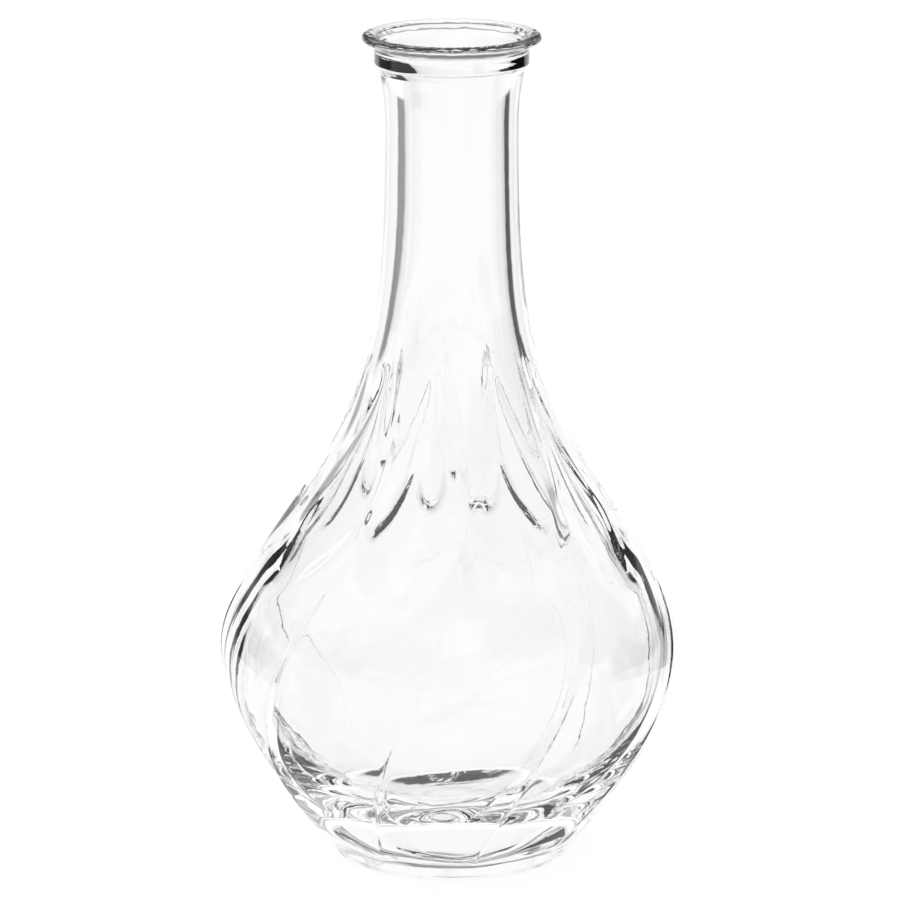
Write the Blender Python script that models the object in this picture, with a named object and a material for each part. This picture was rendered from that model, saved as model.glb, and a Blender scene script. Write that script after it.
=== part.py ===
"""Glass bud vase: a bulb-shaped bowl with nine swirling flutes, a slim neck and a beaded lip.

The vase is one piece of clear glass. It is turned here as a closed blank, and the flutes are
then pressed into the outside of the blank. Metres, +Z up; the origin is the centre of the
foot's standing ring, and the vase's axis is Z.
"""

import math

import bmesh
import bpy

# Driving dimensions, in metres.
HEIGHT = 0.170
BELLY_RADIUS = 0.0472
BELLY_HEIGHT = 0.043
NECK_RADIUS = 0.01335
SHOULDER_FALL = 0.0418  # how far above the belly the bell-shaped shoulder has fallen to 1/e

# Foot: a flat standing ring round a shallow push-up.
HEEL_RADIUS = 0.0243
HEEL_HEIGHT = 0.0008
RING_OUTER_RADIUS = 0.0235
RING_INNER_RADIUS = 0.0206
PUSH_UP_HEIGHT = 0.0016

# Mouth: the neck flares to a low collar, and a rounded bead runs round the top.
FLARE_START_HEIGHT = 0.148
FLARE_END_HEIGHT = 0.1637
FLARE_GROWTH = 0.0015
COLLAR_RADIUS = 0.0155
COLLAR_BOTTOM_HEIGHT = 0.1642
COLLAR_TOP_HEIGHT = 0.1670
BEAD_HALF_WIDTH = 0.00145
BEAD_HALF_HEIGHT = 0.0009
BEAD_RADIUS = 0.01655
BEAD_START = math.radians(-50.0)  # round the bead from its outermost point, under it
BEAD_END = math.radians(180.0)
FUNNEL_TOP_HEIGHT = 0.1680
FUNNEL_BOTTOM_HEIGHT = 0.1622
FUNNEL_TOP_RADIUS = 0.0137

# Glass thickness, measured level.
BELLY_WALL = 0.0030
NECK_WALL = 0.0034
WALL_CHANGE_START_HEIGHT = 0.060
WALL_CHANGE_END_HEIGHT = 0.115
FLOOR_HEIGHT = 0.0065
FLOOR_CURVE_TOP_HEIGHT = 0.034
FLOOR_SQUARENESS = 2.6  # exponent of the superellipse that turns the floor up into the wall

# Flutes: nine, each starting as a deep pointed scoop on the shoulder.
FLUTE_COUNT = 9
STEPS_PER_FLUTE = 6
FLUTE_DEPTH = 0.0009
FLUTE_START_HEIGHT = 0.003
FLUTE_FULL_HEIGHT = 0.016
SCOOP_DEPTH = 0.0024
SCOOP_TIP_HEIGHT = 0.105
SCOOP_WIDEST_HEIGHT = 0.070
SCOOP_ARCH = 1.7  # exponent of the pointed arch
SCOOP_FLOOR_HEIGHT = 0.059
SCOOP_FLOOR_RISE = 0.014  # the scoop's rounded bottom is this much higher at its sides
SCOOP_FLOOR_RUN = 0.008
INNER_FOLLOW = 0.25  # share of a flute's depth that also shows on the inside

# Swirl: the ridges between flutes climb round the vase, then run straight up the shoulder.
SWIRL_RATE = math.radians(560.0)  # per metre of height
SWIRL_TOP_HEIGHT = 0.075
SWIRL_BLEND = 0.008
RIDGE_AZIMUTH = math.radians(8.5)  # of the first ridge on the shoulder, from -Y towards +X

# How many points draw each stretch of the outline.
PUSH_UP_POINTS = 6
BOWL_POINTS = 14
SHOULDER_POINTS = 23
NECK_POINTS = 6
FLARE_POINTS = 5
BEAD_POINTS = 9
BORE_POINTS = 4
INNER_SHOULDER_POINTS = 14
INNER_BELLY_POINTS = 4
FLOOR_POINTS = 10

GLASS_COLOR = (0.96, 0.98, 0.97, 1.0)
GLASS_ROUGHNESS = 0.02
GLASS_IOR = 1.52


def smooth_step(low, high, value):
    """0 below low, 1 above high, with a smooth ramp between them."""
    t = min(max((value - low) / (high - low), 0.0), 1.0)
    return t * t * (3.0 - 2.0 * t)


def outer_radius(z):
    """Radius of the outside at the ridges, from the heel to the collar."""
    if z < BELLY_HEIGHT:
        climb = (z - HEEL_HEIGHT) / (BELLY_HEIGHT - HEEL_HEIGHT)
        return HEEL_RADIUS + (BELLY_RADIUS - HEEL_RADIUS) * math.sin(0.5 * math.pi * climb)
    bell = math.exp(-(((z - BELLY_HEIGHT) / SHOULDER_FALL) ** 2))
    flare = max(z - FLARE_START_HEIGHT, 0.0) / (FLARE_END_HEIGHT - FLARE_START_HEIGHT)
    return NECK_RADIUS + (BELLY_RADIUS - NECK_RADIUS) * bell + FLARE_GROWTH * flare**3


def wall_thickness(z):
    thicker = smooth_step(WALL_CHANGE_START_HEIGHT, WALL_CHANGE_END_HEIGHT, z)
    return BELLY_WALL + (NECK_WALL - BELLY_WALL) * thicker


def inner_radius(z):
    """Radius of the inside between the floor's curve and the funnel."""
    return outer_radius(z) - wall_thickness(z)


def spread(first, last, count):
    """count values from first to last, both included."""
    return [first + (last - first) * i / (count - 1) for i in range(count)]


def underside_profile():
    points = []
    for r in spread(0.0, RING_INNER_RADIUS, PUSH_UP_POINTS):
        dome = math.cos(0.5 * math.pi * r / RING_INNER_RADIUS) ** 2
        points.append((r, PUSH_UP_HEIGHT * dome))
    points.append((RING_OUTER_RADIUS, 0.0))
    return points


def outside_profile():
    points = []
    for angle in spread(0.0, 0.5 * math.pi, BOWL_POINTS)[:-1]:
        z = HEEL_HEIGHT + (BELLY_HEIGHT - HEEL_HEIGHT) * 2.0 * angle / math.pi
        points.append((outer_radius(z), z))
    heights = spread(BELLY_HEIGHT, SCOOP_TIP_HEIGHT, SHOULDER_POINTS)
    heights += spread(SCOOP_TIP_HEIGHT, FLARE_START_HEIGHT, NECK_POINTS)[1:]
    heights += spread(FLARE_START_HEIGHT, FLARE_END_HEIGHT, FLARE_POINTS)[1:]
    points += [(outer_radius(z), z) for z in heights]
    points.append((COLLAR_RADIUS, COLLAR_BOTTOM_HEIGHT))
    points.append((COLLAR_RADIUS, COLLAR_TOP_HEIGHT))
    return points


def bead_profile():
    """The lip's rounded bead, from its underside over the top to the mouth."""
    points = []
    for angle in spread(BEAD_START, BEAD_END, BEAD_POINTS):
        r = BEAD_RADIUS + BEAD_HALF_WIDTH * math.cos(angle)
        z = HEIGHT - BEAD_HALF_HEIGHT + BEAD_HALF_HEIGHT * math.sin(angle)
        points.append((r, z))
    return points


def inside_profile():
    """The conical funnel, the bore, the hollow shoulder and bowl, and the floor."""
    points = [(FUNNEL_TOP_RADIUS, FUNNEL_TOP_HEIGHT)]
    heights = spread(FUNNEL_BOTTOM_HEIGHT, WALL_CHANGE_END_HEIGHT, BORE_POINTS)
    heights += spread(WALL_CHANGE_END_HEIGHT, BELLY_HEIGHT, INNER_SHOULDER_POINTS)[1:]
    heights += spread(BELLY_HEIGHT, FLOOR_CURVE_TOP_HEIGHT, INNER_BELLY_POINTS)[1:]
    points += [(inner_radius(z), z) for z in heights]
    for angle in spread(0.0, 0.5 * math.pi, FLOOR_POINTS)[1:]:
        drop = math.sin(angle) ** (2.0 / FLOOR_SQUARENESS)
        z = FLOOR_CURVE_TOP_HEIGHT + (FLOOR_HEIGHT - FLOOR_CURVE_TOP_HEIGHT) * drop
        turn_in = max(math.cos(angle), 0.0) ** (2.0 / FLOOR_SQUARENESS)
        points.append((inner_radius(z) * turn_in, z))
    points[-1] = (0.0, FLOOR_HEIGHT)
    return points


def swirl(z):
    """How far round the ridges stand at height z."""
    below = (SWIRL_TOP_HEIGHT - z) / SWIRL_BLEND
    return RIDGE_AZIMUTH - SWIRL_RATE * SWIRL_BLEND * math.log1p(math.exp(below))


def flute_recess(across, z):
    """Depth below the ridges at height z; across is 0 in the middle of a flute and 1 on a ridge."""
    growth = smooth_step(FLUTE_START_HEIGHT, FLUTE_FULL_HEIGHT, z)
    fade = 1.0 - smooth_step(SCOOP_FLOOR_HEIGHT, SCOOP_TIP_HEIGHT, z)
    recess = FLUTE_DEPTH * growth * fade * (1.0 - across**2)
    if z >= SCOOP_TIP_HEIGHT:
        return recess
    climb = max(z - SCOOP_WIDEST_HEIGHT, 0.0) / (SCOOP_TIP_HEIGHT - SCOOP_WIDEST_HEIGHT)
    half_width = 1.0 - climb**SCOOP_ARCH
    if across < half_width:
        floor = SCOOP_FLOOR_HEIGHT + SCOOP_FLOOR_RISE * across**2
        filled = smooth_step(floor, floor + SCOOP_FLOOR_RUN, z)
        tip = math.sqrt(half_width)
        recess += SCOOP_DEPTH * filled * tip * (1.0 - (across / half_width) ** 2)
    return recess


def turn_blank(mesh_data):
    """Spins the whole outline round the axis into one closed solid."""
    outline = underside_profile() + outside_profile() + bead_profile() + inside_profile()
    edit = bmesh.new()
    points = [edit.verts.new((0.0, -r, z)) for r, z in outline]
    edges = [edit.edges.new(pair) for pair in zip(points, points[1:])]
    bmesh.ops.spin(
        edit,
        geom=points + edges,
        cent=(0.0, 0.0, 0.0),
        axis=(0.0, 0.0, 1.0),
        angle=2.0 * math.pi,
        steps=FLUTE_COUNT * STEPS_PER_FLUTE,
        use_merge=True,
    )
    bmesh.ops.remove_doubles(edit, verts=edit.verts, dist=1e-6)
    bmesh.ops.recalc_face_normals(edit, faces=edit.faces)
    edit.to_mesh(mesh_data)
    edit.free()


def press_flutes(mesh_data):
    """Presses the flutes into the blank, and turns each level of it by the swirl."""
    pitch = 2.0 * math.pi / FLUTE_COUNT
    for vertex in mesh_data.vertices:
        x, y, z = vertex.co
        radius = math.hypot(x, y)
        azimuth = math.atan2(x, -y)
        across = abs(2.0 * ((azimuth / pitch) % 1.0) - 1.0)
        outside = radius > outer_radius(z) - 0.5 * wall_thickness(z)
        inside_depth = smooth_step(FLOOR_CURVE_TOP_HEIGHT, BELLY_HEIGHT, z) * INNER_FOLLOW
        radius -= flute_recess(across, z) * (1.0 if outside else inside_depth)
        azimuth += swirl(z)
        vertex.co = (radius * math.sin(azimuth), -radius * math.cos(azimuth), z)


def clear_glass():
    material = bpy.data.materials.new("clear_glass")
    material.use_nodes = True
    shader = material.node_tree.nodes["Principled BSDF"]
    shader.inputs["Base Color"].default_value = GLASS_COLOR
    shader.inputs["Roughness"].default_value = GLASS_ROUGHNESS
    shader.inputs["Metallic"].default_value = 0.0
    shader.inputs["IOR"].default_value = GLASS_IOR
    shader.inputs["Transmission Weight"].default_value = 1.0
    return material


def build_vase():
    mesh_data = bpy.data.meshes.new("vase_body")
    turn_blank(mesh_data)
    press_flutes(mesh_data)
    mesh_data.materials.append(clear_glass())
    mesh_data.shade_smooth()
    vase = bpy.data.objects.new("vase_body", mesh_data)
    bpy.context.scene.collection.objects.link(vase)


for old in list(bpy.data.objects):
    bpy.data.objects.remove(old, do_unlink=True)
build_vase()
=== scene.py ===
"""Looks of the glass bud vase: one smooth, clear, wavy glass body on a white studio table.

The glass is one closed skin, turned from the same driving dimensions as the CAD solid. Its
outside carries nine swirling flutes that start as pointed scoops on the shoulder, and its
inside is the slightly uneven surface that blowing leaves. Metres, +Z up.
"""

import math

import bpy
import numpy as np
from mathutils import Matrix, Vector, noise


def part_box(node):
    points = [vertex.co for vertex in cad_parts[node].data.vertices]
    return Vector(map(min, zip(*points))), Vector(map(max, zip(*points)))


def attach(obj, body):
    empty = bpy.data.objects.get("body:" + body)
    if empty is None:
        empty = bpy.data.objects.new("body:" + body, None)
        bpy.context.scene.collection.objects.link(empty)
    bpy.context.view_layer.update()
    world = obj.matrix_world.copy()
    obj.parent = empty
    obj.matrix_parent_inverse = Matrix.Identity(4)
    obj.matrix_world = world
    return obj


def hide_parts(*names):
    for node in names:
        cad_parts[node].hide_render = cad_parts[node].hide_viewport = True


# Foot: a flat standing ring round a shallow push-up.
HEEL_RADIUS = 0.0243
HEEL_HEIGHT = 0.0008
RING_OUTER_RADIUS = 0.0235
RING_INNER_RADIUS = 0.0206
PUSH_UP_HEIGHT = 0.0016

# Outside: a bowl, a bell-shaped shoulder, a slim neck and a flare.
BELLY_RADIUS = 0.0472
BELLY_HEIGHT = 0.043
NECK_RADIUS = 0.01335
SHOULDER_FALL = 0.0418  # how far above the belly the shoulder has fallen to 1/e
FLARE_START_HEIGHT = 0.148
FLARE_END_HEIGHT = 0.1637
FLARE_GROWTH = 0.0015

# Mouth: a low collar under a rounded bead, and a funnel down to the bore.
COLLAR_RADIUS = 0.0155
COLLAR_BOTTOM_HEIGHT = 0.1642
COLLAR_TOP_HEIGHT = 0.1670
STEP_BELOW = 0.0008  # the step out to the collar starts this far below the collar
STEP_ABOVE = 0.0002  # and its close rings end this far above the collar's bottom
BEAD_HALF_WIDTH = 0.00145
BEAD_HALF_HEIGHT = 0.0009
BEAD_RADIUS = 0.01655
BEAD_START = math.radians(-50.0)
FILLET_OUT = 0.0001  # corner of the fillet under the bead, from the collar's top edge
FILLET_UP = 0.0006
FUNNEL_TOP_HEIGHT = 0.1680
FUNNEL_BOTTOM_HEIGHT = 0.1622
FUNNEL_TOP_RADIUS = 0.0137

# Glass thickness, measured level.
BELLY_WALL = 0.0030
NECK_WALL = 0.0034
WALL_CHANGE_START_HEIGHT = 0.060
WALL_CHANGE_END_HEIGHT = 0.115
FLOOR_HEIGHT = 0.0065
FLOOR_CURVE_TOP_HEIGHT = 0.034
FLOOR_SQUARENESS = 2.6

# Flutes: nine, each starting as a deep pointed scoop on the shoulder.
FLUTE_COUNT = 9
FLUTE_DEPTH = 0.0009
FLUTE_START_HEIGHT = 0.003
FLUTE_FULL_HEIGHT = 0.016
CREST_ROUNDING = 0.012
RIB_HEIGHT = 0.00016  # a fine thread of glass along each ridge
RIB_HALF_WIDTH = 0.035
RIB_FADE_HEIGHT = 0.048
RIB_END_HEIGHT = 0.072
SCOOP_DEPTH = 0.0024
SCOOP_TIP_HEIGHT = 0.105
SCOOP_WIDEST_HEIGHT = 0.070
SCOOP_ARCH = 1.7
SCOOP_NARROWEST = 0.03
SCOOP_FLOOR_HEIGHT = 0.059
SCOOP_FLOOR_RISE = 0.014
SCOOP_FLOOR_RUN = 0.008
SCOOP_RIM_ROUNDING = 0.0007
SCOOP_RIM_GROWTH = 0.1  # the rim's rounding grows from the tip to this share of the arch
INNER_FOLLOW = 0.25  # share of the flutes' depth that the inside repeats

# Swirl: the ridges climb round the vase, then run straight up the shoulder.
SWIRL_RATE = math.radians(560.0)  # per metre of height
SWIRL_TOP_HEIGHT = 0.075
SWIRL_BLEND = 0.008
RIDGE_AZIMUTH = math.radians(8.5)

# Waviness that blowing and pressing leave: size of a wave, height of a wave, random seed.
OUTSIDE_WAVES = (0.026, 0.00010, 3.7)
INSIDE_WAVES = (0.016, 0.00032, 8.1)
FLOOR_WAVES = (0.0060, 0.00012, 5.3)
NECK_WAVES = (0.022, 0.00006, 1.9)
BEAD_WAVES = (0.0017, 0.00009, 6.6)

# Pairs of heights between which each kind of wave sets in or dies out.
OUTSIDE_WAVES_IN = (0.001, 0.010)
OUTSIDE_WAVES_OUT = (0.100, 0.130)
INSIDE_WAVES_OUT = (0.080, 0.110)
FLOOR_WAVES_OUT = (FLOOR_HEIGHT + 0.002, FLOOR_HEIGHT + 0.026)
NECK_WAVES_IN = (0.085, 0.115)
BEAD_WAVES_IN = (COLLAR_TOP_HEIGHT, COLLAR_TOP_HEIGHT + 0.001)
STILL_RADIUS = 0.003  # the waves die out within this distance of the axis

# The blown bore stands a little off the centre of the neck, between these pairs of heights.
BORE_OFFSET = 0.0004
BORE_OFFSET_IN = (0.100, 0.135)
BORE_OFFSET_OUT = (0.161, 0.166)

# Points along each stretch of the outline, and columns round the vase.
PUSH_UP_POINTS = 24
RING_POINTS = 5
HEEL_POINTS = 7
BOWL_POINTS = 46
SHOULDER_POINTS = 72
SHOULDER_MARGIN = 0.004  # the shoulder's close rings go this far past the scoops' tips
NECK_POINTS = 14
FLARE_POINTS = 10
STEP_POINTS = 7
COLLAR_POINTS = 5
FILLET_POINTS = 7
BEAD_POINTS = 34
FUNNEL_POINTS = 22
BORE_POINTS = 14
INNER_SHOULDER_POINTS = 40
INNER_BELLY_POINTS = 14
FLOOR_POINTS = 30
COLUMNS = 297
CREST_CROWDING = 0.8  # how much closer together the columns stand at the ridges

# Clear glass, a shade greyer and rougher along faint cords, with very low ripples.
GLASS_IOR = 1.52
CORD_SCALE = 45.0
CORD_DETAIL = 3.0
CORD_DISTORTION = 0.6
GREYEST_GLASS = (0.945, 0.950, 0.948, 1.0)
CLEAREST_GLASS = (0.985, 0.988, 0.987, 1.0)
ROUGH_CORDS = (0.45, 0.75)
ROUGHEST = 0.012
RIPPLE_SCALE = 260.0
RIPPLE_DETAIL = 2.0
RIPPLE_STRENGTH = 0.6
RIPPLE_HEIGHT = 0.00003

# Limits on how often light is bent and mirrored. Light that is trapped in thick glass is
# mirrored more often than the second limit lets it be, which leaves those places dark.
BENDING_LIMIT = 128
MIRROR_LIMIT = 10

# Studio: a round white table that glows as brightly as the white room, so that its edge
# doesn't show. Angles are in degrees, with azimuth 0 behind the vase and positive to the right.
# Each dark window of directions is (azimuth from, to, soft edge), (rise from, to, soft edge)
# and its darkness from 0 to 1.
TABLE_RADIUS = 0.22
TABLE_SIDES = 96
TABLE_COLOUR = (0.2, 0.2, 0.2, 1.0)
TABLE_GLOW = 0.90
WHITE = (1.0, 1.0, 1.0, 1.0)
ROOM_LIGHT = 1.04
DARK_WINDOWS = (
    ((-74.0, -46.0, 8.0), (-18.0, 0.0, 4.0), 0.75),
    ((46.0, 82.0, 8.0), (-18.0, 0.0, 4.0), 0.95),
    ((-120.0, -94.0, 8.0), (-36.0, -22.0, 4.0), 0.90),
    ((-128.0, -112.0, 6.0), (4.0, 12.0, 4.0), 0.70),
    ((72.0, 112.0, 8.0), (2.0, 20.0, 4.0), 0.80),
    ((-76.0, -46.0, 8.0), (9.0, 38.0, 4.0), 0.60),
    ((-50.0, -28.0, 6.0), (22.0, 38.0, 4.0), 0.80),
    ((-30.0, -12.0, 5.0), (9.0, 18.0, 3.0), 0.80),
    ((12.0, 30.0, 5.0), (9.0, 18.0, 3.0), 0.60),
    ((-11.0, 11.0, 6.0), (3.0, 7.0, 2.0), 0.80),
    ((-11.0, 11.0, 6.0), (12.0, 38.0, 4.0), 0.75),
    ((12.0, 112.0, 8.0), (24.0, 40.0, 5.0), 0.50),
    ((-150.0, -112.0, 10.0), (10.0, 38.0, 6.0), 0.35),
    ((112.0, 152.0, 10.0), (22.0, 60.0, 6.0), 0.50),
    ((150.0, 181.0, 8.0), (42.0, 64.0, 6.0), 0.60),
    ((-181.0, -150.0, 8.0), (42.0, 64.0, 6.0), 0.60),
)

# Camera, at the height and distance of a product photograph.
CAMERA_DISTANCE = 1.080
CAMERA_HEIGHT = 0.363
CAMERA_PITCH = math.radians(14.481)
CAMERA_SIDE = -0.00035
CAMERA_NEAREST = 0.01
SENSOR_WIDTH = 36.0
LENS = 219.46


def smooth_step(low, high, value):
    """Rises smoothly from 0 at low to 1 at high."""
    t = np.clip((value - low) / (high - low), 0.0, 1.0)
    return t * t * (3.0 - 2.0 * t)


def outer_radius(z):
    """Radius of the outside at the ridges, from the heel to the collar."""
    climb = np.clip((z - HEEL_HEIGHT) / (BELLY_HEIGHT - HEEL_HEIGHT), 0.0, 1.0)
    bowl = HEEL_RADIUS + (BELLY_RADIUS - HEEL_RADIUS) * np.sin(0.5 * math.pi * climb)
    bell = np.exp(-(((z - BELLY_HEIGHT) / SHOULDER_FALL) ** 2))
    flare = np.clip(z - FLARE_START_HEIGHT, 0.0, None) / (FLARE_END_HEIGHT - FLARE_START_HEIGHT)
    shoulder = NECK_RADIUS + (BELLY_RADIUS - NECK_RADIUS) * bell + FLARE_GROWTH * flare**3
    return np.where(z < BELLY_HEIGHT, bowl, shoulder)


def wall_thickness(z):
    thicker = smooth_step(WALL_CHANGE_START_HEIGHT, WALL_CHANGE_END_HEIGHT, z)
    return BELLY_WALL + (NECK_WALL - BELLY_WALL) * thicker


def inner_radius(z):
    return outer_radius(z) - wall_thickness(z)


def underside_profile():
    """The push-up, from its centre, and the flat ring that the vase stands on."""
    r = np.linspace(0.0, RING_INNER_RADIUS, PUSH_UP_POINTS)[1:]
    z = PUSH_UP_HEIGHT * np.cos(0.5 * math.pi * r / RING_INNER_RADIUS) ** 2
    ring = np.linspace(RING_INNER_RADIUS, RING_OUTER_RADIUS, RING_POINTS)[1:]
    return np.append(r, ring), np.append(z, np.zeros(len(ring)))


def outside_profile():
    """The outside at the ridges, from the heel to the top of the collar."""
    turn = np.linspace(0.0, 0.5 * math.pi, HEEL_POINTS)[1:-1]
    heel_r = RING_OUTER_RADIUS + (HEEL_RADIUS - RING_OUTER_RADIUS) * np.sin(turn)
    heel_z = HEEL_HEIGHT * (1.0 - np.cos(turn))
    climb = np.linspace(0.0, 1.0, BOWL_POINTS)[:-1]
    bowl_z = HEEL_HEIGHT + (BELLY_HEIGHT - HEEL_HEIGHT) * climb
    shoulder_top = SCOOP_TIP_HEIGHT + SHOULDER_MARGIN
    step_start = COLLAR_BOTTOM_HEIGHT - STEP_BELOW
    step_end = COLLAR_BOTTOM_HEIGHT + STEP_ABOVE
    shoulder_z = np.linspace(BELLY_HEIGHT, shoulder_top, SHOULDER_POINTS)
    neck_z = np.linspace(shoulder_top, FLARE_START_HEIGHT, NECK_POINTS)[1:]
    flare_z = np.linspace(FLARE_START_HEIGHT, step_start, FLARE_POINTS)[1:]
    step_z = np.linspace(step_start, step_end, STEP_POINTS)[1:]
    z = np.concatenate([bowl_z, shoulder_z, neck_z, flare_z, step_z])
    r = outer_radius(z)
    r = r + (COLLAR_RADIUS - r) * smooth_step(step_start, COLLAR_BOTTOM_HEIGHT, z)
    collar_z = np.linspace(step_end, COLLAR_TOP_HEIGHT, COLLAR_POINTS)[1:]
    collar_r = np.full(len(collar_z), COLLAR_RADIUS)
    return np.concatenate([heel_r, r, collar_r]), np.concatenate([heel_z, z, collar_z])


def bead_profile(height):
    """The lip's rounded bead, from the fillet under it over the top to the mouth."""
    centre_z = height - BEAD_HALF_HEIGHT
    turn = np.linspace(BEAD_START, math.pi, BEAD_POINTS)
    bead_r = BEAD_RADIUS + BEAD_HALF_WIDTH * np.cos(turn)
    bead_z = centre_z + BEAD_HALF_HEIGHT * np.sin(turn)
    t = np.linspace(0.0, 1.0, FILLET_POINTS)[1:-1]
    corner_r, corner_z = COLLAR_RADIUS + FILLET_OUT, COLLAR_TOP_HEIGHT + FILLET_UP
    fillet_r = (1 - t) ** 2 * COLLAR_RADIUS + 2 * t * (1 - t) * corner_r + t**2 * bead_r[0]
    fillet_z = (1 - t) ** 2 * COLLAR_TOP_HEIGHT + 2 * t * (1 - t) * corner_z + t**2 * bead_z[0]
    return np.append(fillet_r, bead_r), np.append(fillet_z, bead_z)


def inside_profile():
    """The inside, from the top of the funnel down to the inner floor."""
    bore = inner_radius(np.array([FUNNEL_BOTTOM_HEIGHT]))[0]
    funnel_z = np.linspace(FUNNEL_TOP_HEIGHT, FUNNEL_BOTTOM_HEIGHT, FUNNEL_POINTS)
    opening = (funnel_z - FUNNEL_BOTTOM_HEIGHT) / (FUNNEL_TOP_HEIGHT - FUNNEL_BOTTOM_HEIGHT)
    funnel_r = bore + (FUNNEL_TOP_RADIUS - bore) * opening
    neck_z = np.linspace(FUNNEL_BOTTOM_HEIGHT, SCOOP_TIP_HEIGHT, BORE_POINTS)[1:]
    shoulder_z = np.linspace(SCOOP_TIP_HEIGHT, BELLY_HEIGHT, INNER_SHOULDER_POINTS)[1:]
    belly_z = np.linspace(BELLY_HEIGHT, FLOOR_CURVE_TOP_HEIGHT, INNER_BELLY_POINTS)[1:]
    wall_z = np.concatenate([neck_z, shoulder_z, belly_z])
    turn = np.linspace(0.0, 0.5 * math.pi, FLOOR_POINTS)[1:-1]
    drop = np.sin(turn) ** (2.0 / FLOOR_SQUARENESS)
    floor_z = FLOOR_CURVE_TOP_HEIGHT + (FLOOR_HEIGHT - FLOOR_CURVE_TOP_HEIGHT) * drop
    floor_r = inner_radius(floor_z) * np.cos(turn) ** (2.0 / FLOOR_SQUARENESS)
    r = np.concatenate([funnel_r, inner_radius(wall_z), floor_r])
    return r, np.concatenate([funnel_z, wall_z, floor_z])


def swirl(z):
    """How far round the ridges stand at height z."""
    below = (SWIRL_TOP_HEIGHT - z) / SWIRL_BLEND
    return RIDGE_AZIMUTH - SWIRL_RATE * SWIRL_BLEND * np.log1p(np.exp(below))


def flute_recess(across, z):
    """Depth below the ridges; across is 0 in the middle of a flute and 1 on a ridge."""
    off_crest = 1.0 - across
    rounded = np.sqrt(off_crest**2 + CREST_ROUNDING**2) - CREST_ROUNDING
    growth = smooth_step(FLUTE_START_HEIGHT, FLUTE_FULL_HEIGHT, z)
    fade = 1.0 - smooth_step(SCOOP_FLOOR_HEIGHT, SCOOP_TIP_HEIGHT, z)
    recess = FLUTE_DEPTH * growth * fade * (2.0 * rounded - rounded**2)
    climb = (z - SCOOP_WIDEST_HEIGHT) / (SCOOP_TIP_HEIGHT - SCOOP_WIDEST_HEIGHT)
    arch = 1.0 - np.clip(climb, 0.0, 1.0) ** SCOOP_ARCH
    half_width = np.maximum(arch, SCOOP_NARROWEST)
    floor = SCOOP_FLOOR_HEIGHT + SCOOP_FLOOR_RISE * across**2
    filled = smooth_step(floor, floor + SCOOP_FLOOR_RUN, z)
    dish = SCOOP_DEPTH * np.sqrt(arch) * (1.0 - (across / half_width) ** 2)
    rim = SCOOP_RIM_ROUNDING * smooth_step(0.0, SCOOP_RIM_GROWTH, arch)
    scoop = 0.5 * (dish + np.sqrt(dish**2 + rim**2))
    thread = np.exp(-((off_crest / RIB_HALF_WIDTH) ** 2)) * growth
    thread = thread * (1.0 - smooth_step(RIB_FADE_HEIGHT, RIB_END_HEIGHT, z))
    return recess + filled * scoop - RIB_HEIGHT * thread


def waves(points, kind):
    """Smooth random waves over the points, the same on every run."""
    size, height, seed = kind
    shift = Vector((seed, 2.0 * seed, 3.0 * seed))
    return height * np.array([noise.noise(Vector(point) / size + shift) for point in points])


def waviness(points, inside):
    """How far each point stands out from the ideal surface."""
    z = points[:, 2]
    bead = smooth_step(*BEAD_WAVES_IN, z)
    neck = smooth_step(*NECK_WAVES_IN, z) * (1.0 - bead)
    floor = (1.0 - smooth_step(*FLOOR_WAVES_OUT, z)) * inside
    blown = (1.0 - smooth_step(*INSIDE_WAVES_OUT, z)) * inside
    pressed = (1.0 - smooth_step(*OUTSIDE_WAVES_OUT, z)) * (1.0 - inside)
    pressed = pressed * smooth_step(*OUTSIDE_WAVES_IN, z)
    out = waves(points, OUTSIDE_WAVES) * pressed
    out = out + waves(points, INSIDE_WAVES) * blown
    out = out + waves(points, FLOOR_WAVES) * floor
    out = out + waves(points, NECK_WAVES) * neck
    out = out + waves(points, BEAD_WAVES) * bead
    return out * smooth_step(0.0, STILL_RADIUS, np.hypot(points[:, 0], points[:, 1]))


def outline(height):
    """Rings of the skin, from under the foot, up the outside, over the lip and down inside.

    Gives each ring's radius and height, its share of the flutes' depth, and 1 if it is inside.
    """
    under, outside, bead, inside = (
        underside_profile(),
        outside_profile(),
        bead_profile(height),
        inside_profile(),
    )
    r, z = np.concatenate([under, outside, bead, inside], axis=1)
    share = np.concatenate([
        np.zeros(len(under[0])),
        np.ones(len(outside[0])),
        np.zeros(len(bead[0])),
        smooth_step(FLOOR_CURVE_TOP_HEIGHT, BELLY_HEIGHT, inside[1]) * INNER_FOLLOW,
    ])
    is_inside = (np.arange(len(r)) >= len(r) - len(inside[0])).astype(float)
    return r, z, share, is_inside


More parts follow.
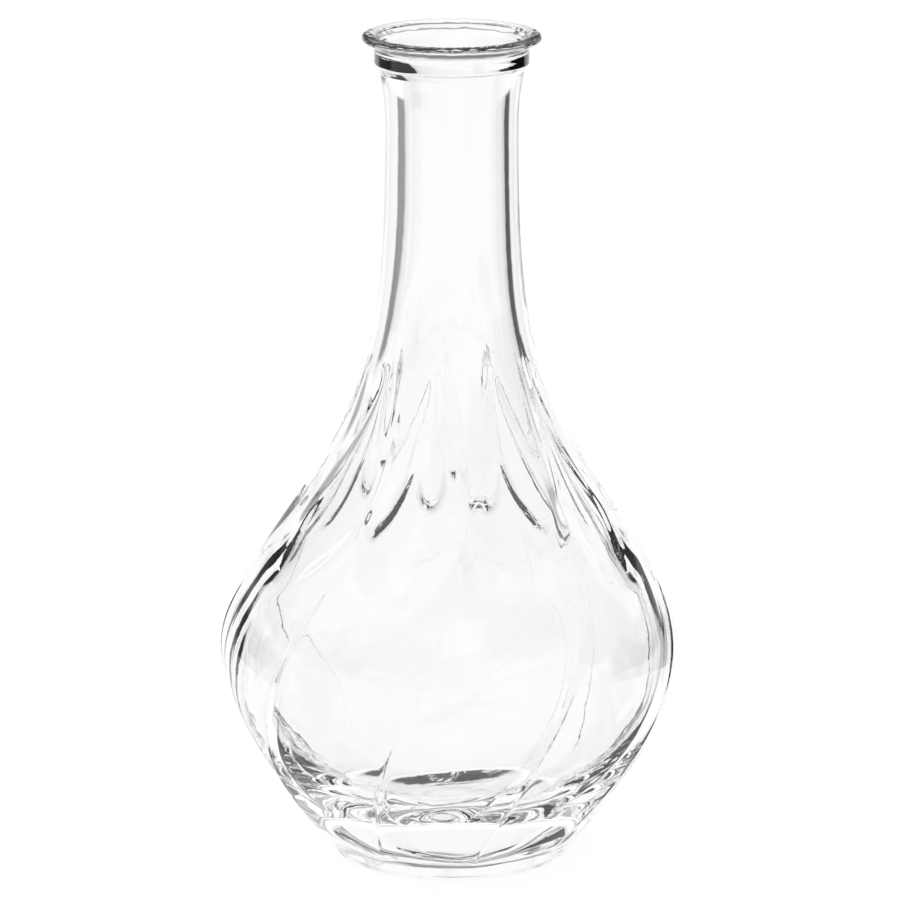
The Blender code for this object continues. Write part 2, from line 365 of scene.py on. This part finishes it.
def skin_points(height):
    """Turns the outline, presses the flutes into it, swirls it and makes it wavy."""
    r, z, share, is_inside = outline(height)
    turn = np.arange(COLUMNS) * 2.0 * math.pi / COLUMNS
    turn = turn - CREST_CROWDING * np.sin(turn * FLUTE_COUNT) / FLUTE_COUNT
    pitch = 2.0 * math.pi / FLUTE_COUNT
    across = np.abs(2.0 * ((turn / pitch) % 1.0) - 1.0)
    radius = r[:, None] - flute_recess(across[None, :], z[:, None]) * share[:, None]
    azimuth = turn[None, :] + swirl(z)[:, None]
    level = np.repeat(z[:, None], COLUMNS, axis=1)
    points = np.stack([radius * np.sin(azimuth), -radius * np.cos(azimuth), level], axis=2)
    points = points.reshape(-1, 3)
    inside = np.repeat(is_inside, COLUMNS)
    out_r, out_z = np.gradient(z), -np.gradient(r)
    length = np.hypot(out_r, out_z)
    out_r, out_z = out_r / length, out_z / length
    stand = waviness(points, inside).reshape(len(r), COLUMNS)
    moved = np.stack([
        stand * out_r[:, None] * np.sin(azimuth),
        -stand * out_r[:, None] * np.cos(azimuth),
        stand * out_z[:, None],
    ], axis=2)
    points = points + moved.reshape(-1, 3)
    bore = smooth_step(*BORE_OFFSET_IN, points[:, 2])
    bore = bore * (1.0 - smooth_step(*BORE_OFFSET_OUT, points[:, 2]))
    points[:, 0] += BORE_OFFSET * bore * inside
    return points


def skin_faces(rings):
    """Quads between the rings, and a fan of triangles to the pole at each end."""
    faces = []
    for i in range(rings - 1):
        for j in range(COLUMNS):
            k = (j + 1) % COLUMNS
            a, b = i * COLUMNS + j, i * COLUMNS + k
            faces.append((a, b, b + COLUMNS, a + COLUMNS))
    last = (rings - 1) * COLUMNS
    underside_pole, floor_pole = rings * COLUMNS, rings * COLUMNS + 1
    for j in range(COLUMNS):
        k = (j + 1) % COLUMNS
        faces.append((underside_pole, k, j))
        faces.append((floor_pole, last + j, last + k))
    return faces


def glass_mesh(height):
    points = skin_points(height)
    poles = np.array([[0.0, 0.0, PUSH_UP_HEIGHT], [0.0, 0.0, FLOOR_HEIGHT]])
    mesh = bpy.data.meshes.new("glass")
    faces = skin_faces(len(points) // COLUMNS)
    mesh.from_pydata(np.vstack([points, poles]).tolist(), [], faces)
    mesh.shade_smooth()
    return mesh


class Maths:
    """Short names for the nodes of one node tree."""

    def __init__(self, tree):
        self.tree = tree

    def node(self, kind, *inputs, **settings):
        """Adds a node, fills or links its sockets in order, and gives its first output."""
        made = self.tree.nodes.new(kind)
        for name, value in settings.items():
            setattr(made, name, value)
        for socket, value in zip(made.inputs, inputs):
            if isinstance(value, (int, float, tuple)):
                socket.default_value = value
            else:
                self.tree.links.new(value, socket)
        return made.outputs[0]

    def math(self, operation, *inputs):
        return self.node("ShaderNodeMath", *inputs, operation=operation)

    def noise(self, place, scale, detail, distortion=0.0):
        made = self.node("ShaderNodeTexNoise", place, noise_dimensions="3D")
        made.node.inputs["Scale"].default_value = scale
        made.node.inputs["Detail"].default_value = detail
        made.node.inputs["Distortion"].default_value = distortion
        return made

    def ramp(self, value, low, high, start=0.0, end=1.0):
        """A smooth ramp from start, below low, to end, above high."""
        return self.node(
            "ShaderNodeMapRange", value, low, high, start, end, interpolation_type="SMOOTHSTEP"
        )

    def window(self, value, low, high, soft):
        """1 between low and high, and 0 outside them, with soft edges."""
        up = self.ramp(value, low - soft, low)
        down = self.ramp(value, high, high + soft, 1.0, 0.0)
        return self.math("MULTIPLY", up, down)


def glass_material():
    material = bpy.data.materials.new("clear_glass")
    material.use_nodes = True
    tree = material.node_tree
    shader = tree.nodes["Principled BSDF"]
    maths = Maths(tree)
    place = tree.nodes.new("ShaderNodeTexCoord").outputs["Object"]
    cords = maths.noise(place, CORD_SCALE, CORD_DETAIL, CORD_DISTORTION)
    # A Mix node that mixes colours takes them on sockets 6 and 7 and gives its result on 2.
    tint = maths.node("ShaderNodeMix", cords, data_type="RGBA").node
    tint.inputs[6].default_value = GREYEST_GLASS
    tint.inputs[7].default_value = CLEAREST_GLASS
    tree.links.new(tint.outputs[2], shader.inputs["Base Color"])
    tree.links.new(maths.ramp(cords, *ROUGH_CORDS, 0.0, ROUGHEST), shader.inputs["Roughness"])
    bump = tree.nodes.new("ShaderNodeBump")
    bump.inputs["Strength"].default_value = RIPPLE_STRENGTH
    bump.inputs["Distance"].default_value = RIPPLE_HEIGHT
    tree.links.new(maths.noise(place, RIPPLE_SCALE, RIPPLE_DETAIL), bump.inputs["Height"])
    tree.links.new(bump.outputs["Normal"], shader.inputs["Normal"])
    shader.inputs["IOR"].default_value = GLASS_IOR
    shader.inputs["Transmission Weight"].default_value = 1.0
    return material


def build_glass(height):
    glass = bpy.data.objects.new("glass", glass_mesh(height))
    bpy.context.scene.collection.objects.link(glass)
    glass.data.materials.append(glass_material())
    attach(glass, "root")
    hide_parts("vase_body")


def build_floor():
    """A round white table top, so bright that its edge melts into the studio."""
    turn = np.arange(TABLE_SIDES) * 2.0 * math.pi / TABLE_SIDES
    rim = np.stack([np.cos(turn), np.sin(turn), np.zeros(TABLE_SIDES)], axis=1) * TABLE_RADIUS
    mesh = bpy.data.meshes.new("floor")
    mesh.from_pydata(rim.tolist(), [], [tuple(range(TABLE_SIDES))])
    floor = bpy.data.objects.new("floor", mesh)
    bpy.context.scene.collection.objects.link(floor)
    material = bpy.data.materials.new("floor")
    material.use_nodes = True
    shader = material.node_tree.nodes["Principled BSDF"]
    shader.inputs["Base Color"].default_value = TABLE_COLOUR
    shader.inputs["Roughness"].default_value = 1.0
    shader.inputs["Specular IOR Level"].default_value = 0.0
    shader.inputs["Emission Color"].default_value = WHITE
    shader.inputs["Emission Strength"].default_value = TABLE_GLOW
    floor.data.materials.append(material)


def build_world():
    """A white studio whose dark windows draw the dark lines in clear glass.

    The camera itself sees only white, and meets the windows in the glass alone.
    """
    world = bpy.data.worlds.new("studio")
    bpy.context.scene.world = world
    world.use_nodes = True
    tree = world.node_tree
    maths = Maths(tree)
    way = tree.nodes.new("ShaderNodeTexCoord").outputs["Generated"]
    parts = tree.nodes.new("ShaderNodeSeparateXYZ")
    tree.links.new(way, parts.inputs[0])
    side = maths.math("ARCTAN2", parts.outputs["X"], parts.outputs["Y"])
    rise = maths.math("ARCSINE", parts.outputs["Z"])
    light = ROOM_LIGHT
    for (start, end, soft), (low, high, blur), dark in DARK_WINDOWS:
        across = maths.window(side, math.radians(start), math.radians(end), math.radians(soft))
        up = maths.window(rise, math.radians(low), math.radians(high), math.radians(blur))
        shade = maths.math("MULTIPLY", maths.math("MULTIPLY", across, up), dark)
        light = maths.math("MULTIPLY", light, maths.math("SUBTRACT", 1.0, shade))
    seen = tree.nodes.new("ShaderNodeLightPath").outputs["Is Camera Ray"]
    background = tree.nodes["Background"]
    tree.links.new(maths.math("MAXIMUM", light, seen), background.inputs["Strength"])
    background.inputs["Color"].default_value = WHITE


def build_camera():
    data = bpy.data.cameras.new("camera")
    data.sensor_width = SENSOR_WIDTH
    data.lens = LENS
    data.clip_start = CAMERA_NEAREST
    camera = bpy.data.objects.new("camera", data)
    camera.location = (CAMERA_SIDE, -CAMERA_DISTANCE, CAMERA_HEIGHT)
    camera.rotation_euler = (0.5 * math.pi - CAMERA_PITCH, 0.0, 0.0)
    bpy.context.scene.collection.objects.link(camera)
    bpy.context.scene.camera = camera


def set_light_limits(scene):
    scene.view_settings.view_transform = "Standard"
    scene.cycles.max_bounces = BENDING_LIMIT
    scene.cycles.transmission_bounces = BENDING_LIMIT
    scene.cycles.glossy_bounces = MIRROR_LIMIT


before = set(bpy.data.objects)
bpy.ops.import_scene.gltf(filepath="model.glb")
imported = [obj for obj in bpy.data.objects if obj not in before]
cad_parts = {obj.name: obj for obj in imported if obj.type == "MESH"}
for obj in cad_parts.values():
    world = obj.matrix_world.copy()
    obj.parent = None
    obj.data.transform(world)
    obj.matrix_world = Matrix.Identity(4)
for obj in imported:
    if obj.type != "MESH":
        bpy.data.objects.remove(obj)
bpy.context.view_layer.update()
bottom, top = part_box("vase_body")

build_glass(top.z - bottom.z)
build_floor()
build_world()
build_camera()
set_light_limits(bpy.context.scene)
